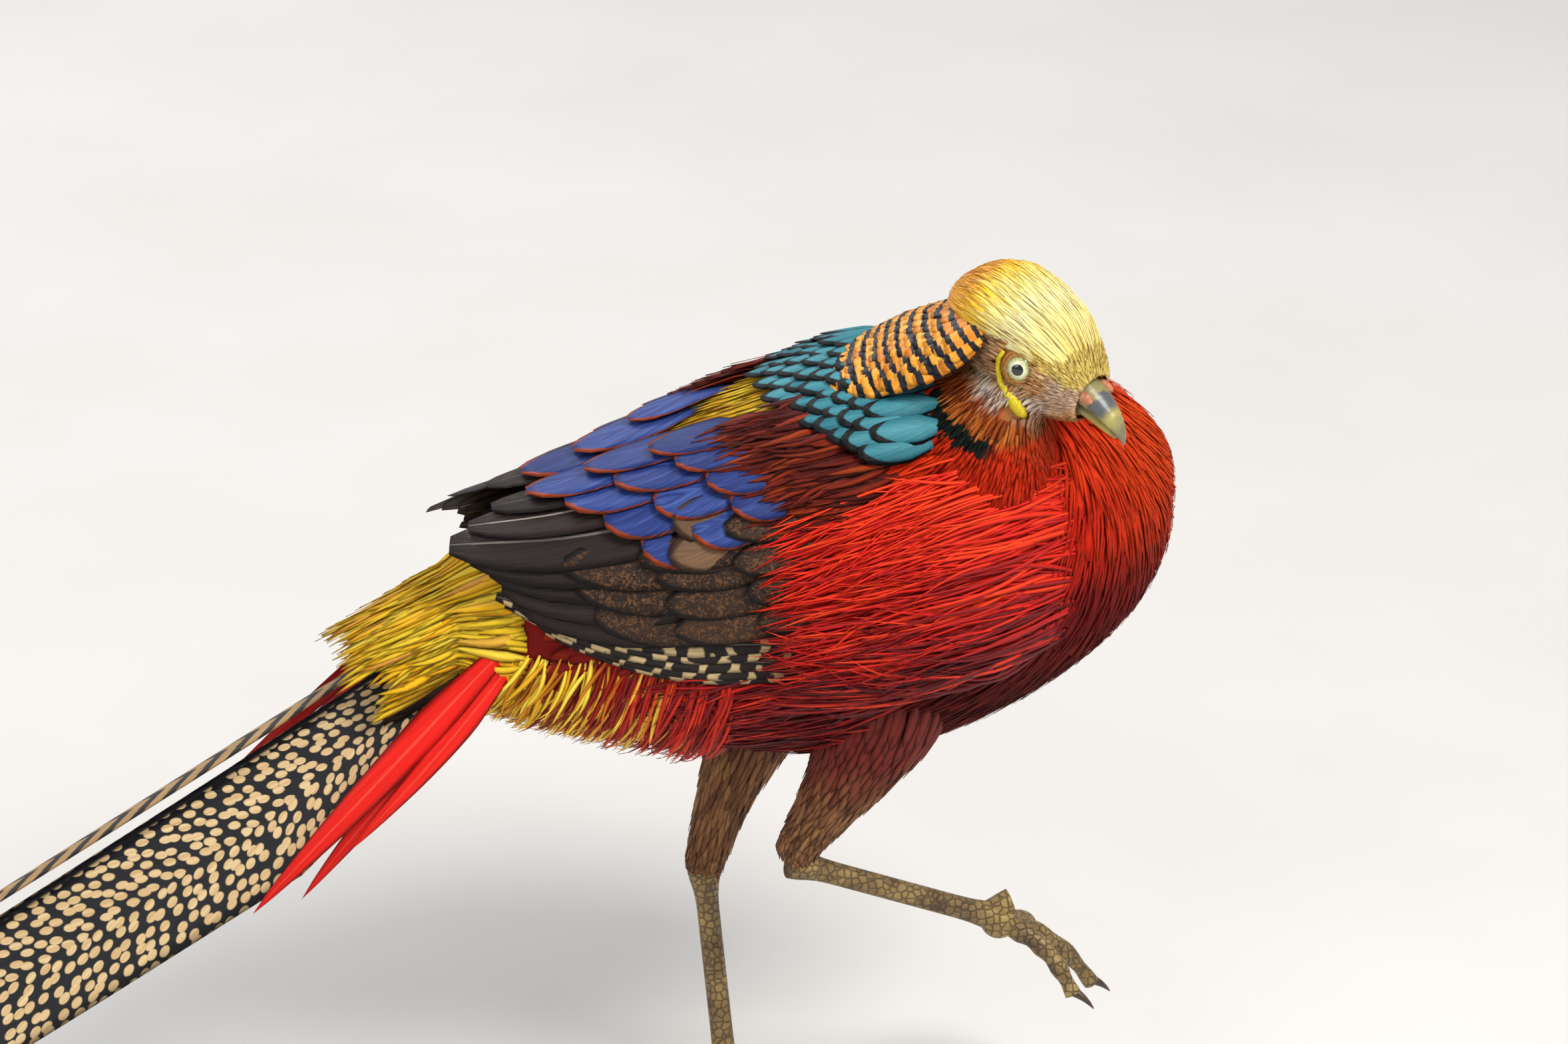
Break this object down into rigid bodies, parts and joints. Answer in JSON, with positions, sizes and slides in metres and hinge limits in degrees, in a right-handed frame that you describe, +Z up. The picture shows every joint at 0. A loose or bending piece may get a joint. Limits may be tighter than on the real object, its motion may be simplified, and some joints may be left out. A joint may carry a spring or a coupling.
{
  "type": "golden pheasant",
  "caption": "Life-size still model of a male golden pheasant walking with one foot lifted, head turned right, long tail resting on the floor.",
  "frame": {"origin": "on the floor under the hind toe of the standing left foot", "axes": "+X the way the body heads, +Y the bird's left, +Z up"},
  "size_m": [0.8763, 0.1671, 0.3321],
  "materials": {
    "scarlet_feather": "soft satin feather",
    "golden_feather": "silky feather",
    "face_feather": "short matt feather",
    "cape_feather": "satin feather with dark bars",
    "green_feather": "glossy scale-like feather",
    "wing_feather": "satin flight feather",
    "tail_feather": "satin feather with dark net pattern",
    "thigh_feather": "short matt feather",
    "bill_horn": "smooth horn",
    "leg_scale": "scaly skin",
    "claw_horn": "smooth horn",
    "eye_wet": "wet gloss, black pupil"
  },
  "bodies": {
    "root": {"torso": "scarlet_feather", "head": "face_feather", "eye_right": "eye_wet", "eye_left": "eye_wet", "bill_upper": "bill_horn", "bill_lower": "bill_horn", "neck": "scarlet_feather", "crest": "golden_feather", "cape": "cape_feather", "mantle": "green_feather", "wing_right": "wing_feather", "wing_left": "wing_feather", "plumes_right": "scarlet_feather", "plumes_left": "scarlet_feather", "coverts_right": "scarlet_feather", "coverts_left": "scarlet_feather", "rump": "golden_feather", "tail": "tail_feather", "thigh_left": "thigh_feather", "thigh_right": "thigh_feather", "foot_left": "leg_scale", "foot_right": "leg_scale", "shank_left": "leg_scale", "shank_right": "leg_scale", "claw_left_inner": "claw_horn", "claw_left_middle": "claw_horn", "claw_left_outer": "claw_horn", "claw_left_hind": "claw_horn", "claw_right_inner": "claw_horn", "claw_right_middle": "claw_horn", "claw_right_outer": "claw_horn", "claw_right_hind": "claw_horn"}
  },
  "joints": []
}
